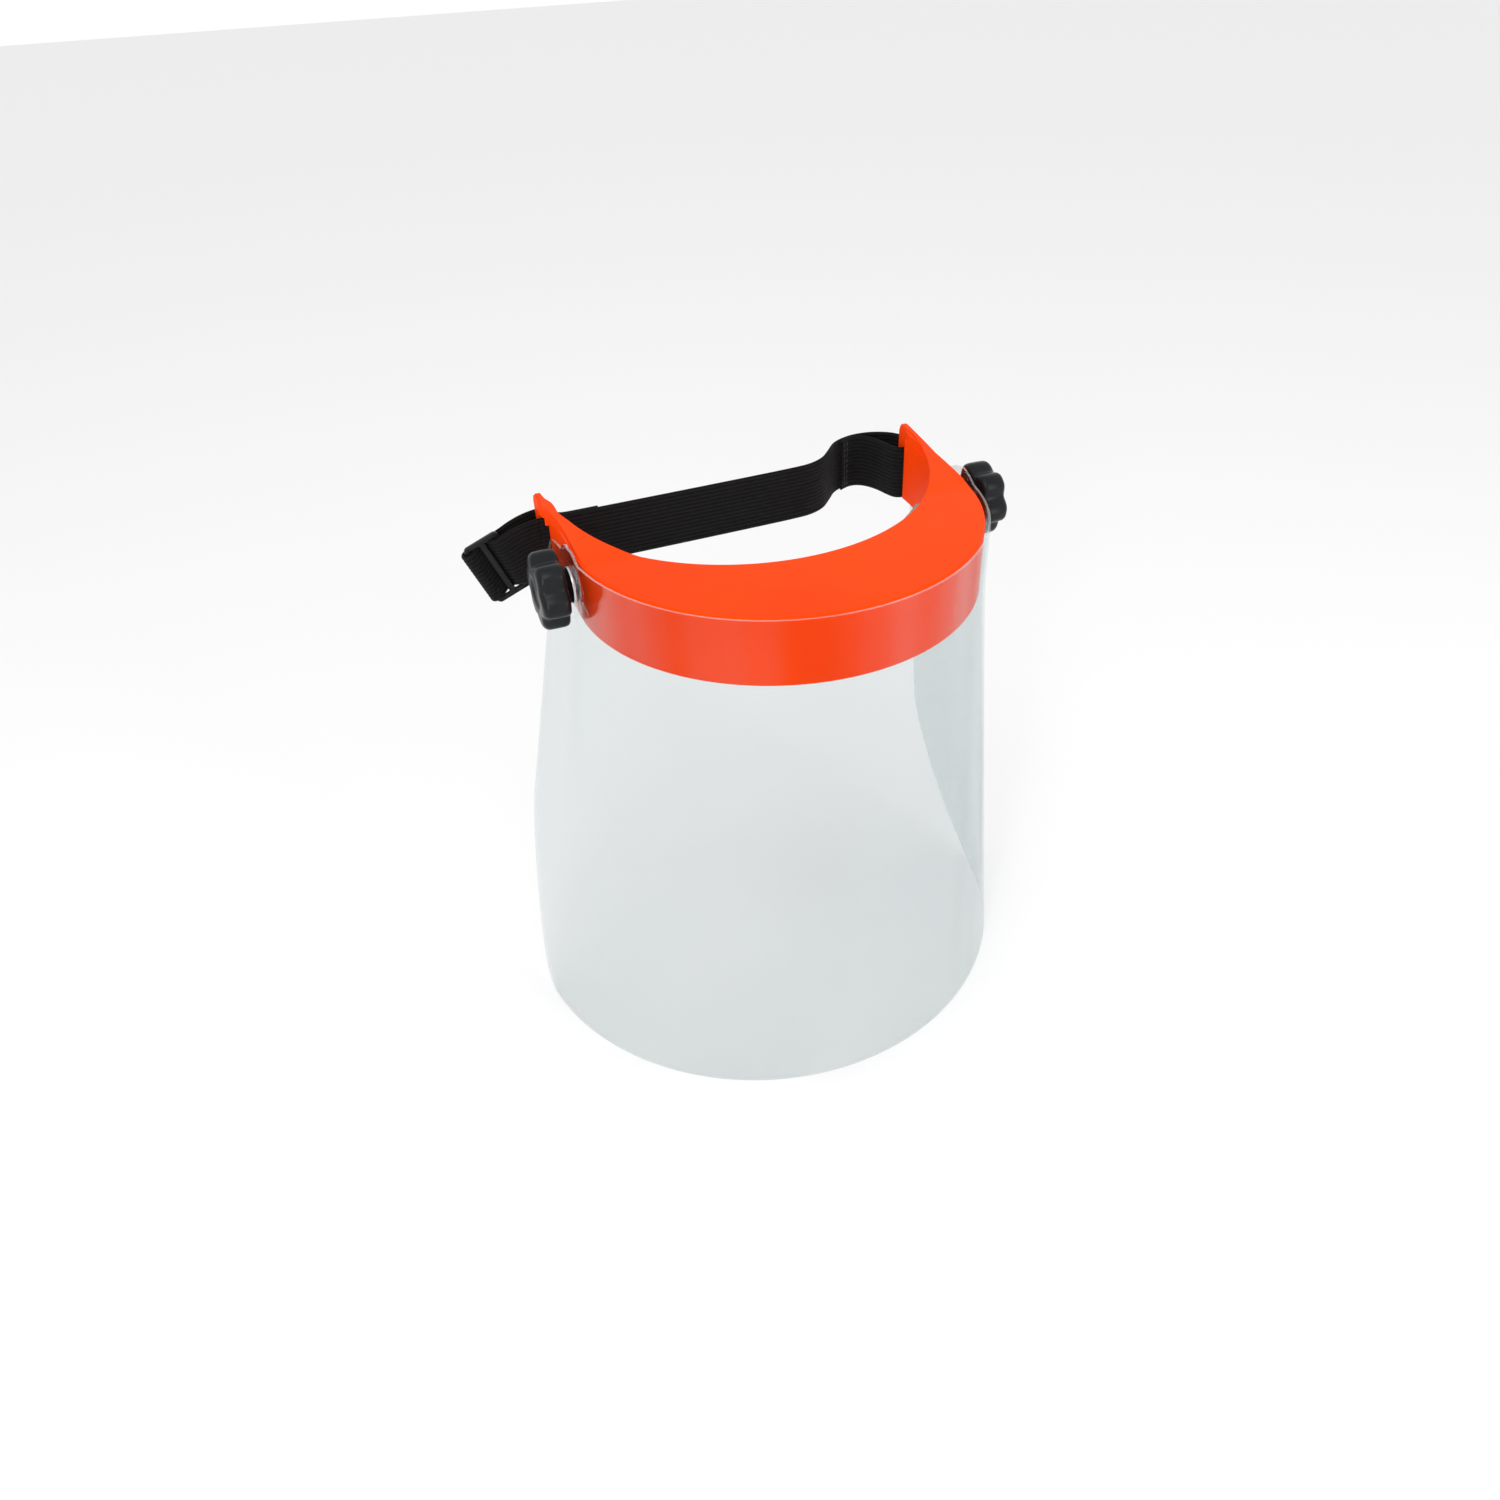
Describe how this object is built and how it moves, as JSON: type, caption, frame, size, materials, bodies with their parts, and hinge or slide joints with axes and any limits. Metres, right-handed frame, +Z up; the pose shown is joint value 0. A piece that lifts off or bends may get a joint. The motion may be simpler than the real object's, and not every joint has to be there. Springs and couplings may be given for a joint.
{
  "type": "face shield",
  "caption": "Tilting clear face shield on an orange brow guard, with star knobs, foam brow pad and an elastic head strap.",
  "frame": {"origin": "midway between the two knob pivots, on the plane of symmetry of the guard", "axes": "+X to the right knob, -Y to the front of the visor, +Z up towards the guard's top face"},
  "size_m": [0.2483, 0.1595, 0.2575],
  "materials": {
    "guard_orange": "bright orange moulded plastic with a soft gloss",
    "clear_sheet": "clear flexible plastic sheet",
    "foam": "open-cell polyurethane foam",
    "knob_black": "black moulded plastic with a fine grain",
    "zinc_steel": "zinc-plated steel",
    "washer_nylon": "natural nylon",
    "elastic_webbing": "ribbed woven elastic webbing",
    "buckle_plastic": "black satin moulded plastic",
    "thread": "black sewing thread"
  },
  "bodies": {
    "guard": {"brow_guard": "guard_orange", "brow_pad": "foam", "left_friction_washer": "washer_nylon", "right_friction_washer": "washer_nylon", "left_nut": "zinc_steel", "right_nut": "zinc_steel", "strap_main": "elastic_webbing", "strap_hook_loop": "elastic_webbing", "strap_adjuster_loop": "elastic_webbing", "left_stitching": "thread", "right_stitching": "thread"},
    "visor": {"visor": "clear_sheet"},
    "left_clamp": {"left_clamp_washer": "zinc_steel"},
    "left_knob": {"left_knob": "knob_black", "left_knob_stud": "zinc_steel"},
    "right_clamp": {"right_clamp_washer": "zinc_steel"},
    "right_knob": {"right_knob": "knob_black", "right_knob_stud": "zinc_steel"},
    "adjuster": {"tri_glide": "buckle_plastic"}
  },
  "joints": [
    {"name": "visor_tilt", "type": "hinge", "parent": "guard", "child": "visor", "pos_m": [0, 0, 0], "axis": [-1, 0, 0], "range_deg": [0, 90]},
    {"name": "left_clamp_slide", "type": "slide", "parent": "guard", "child": "left_clamp", "axis": [-1, 0, 0], "range_m": [0, 0.0016]},
    {"name": "left_knob_turn", "type": "hinge", "parent": "left_clamp", "child": "left_knob", "pos_m": [-0.09, 0, 0], "axis": [-1, 0, 0], "range_deg": [0, 720]},
    {"name": "right_clamp_slide", "type": "slide", "parent": "guard", "child": "right_clamp", "axis": [1, 0, 0], "range_m": [0, 0.0016]},
    {"name": "right_knob_turn", "type": "hinge", "parent": "right_clamp", "child": "right_knob", "pos_m": [0.09, 0, 0], "axis": [1, 0, 0], "range_deg": [0, 720]},
    {"name": "adjuster_slide", "type": "slide", "parent": "guard", "child": "adjuster", "axis": [0.9272, 0, 0.3746], "range_m": [0, 0.006], "deforming": ["strap_adjuster_loop"]}
  ],
  "couplings": [
    {"joint": "left_clamp_slide", "follows": "left_knob_turn", "m_per_rad": 0.00012732},
    {"joint": "right_clamp_slide", "follows": "right_knob_turn", "m_per_rad": 0.00012732}
  ]
}
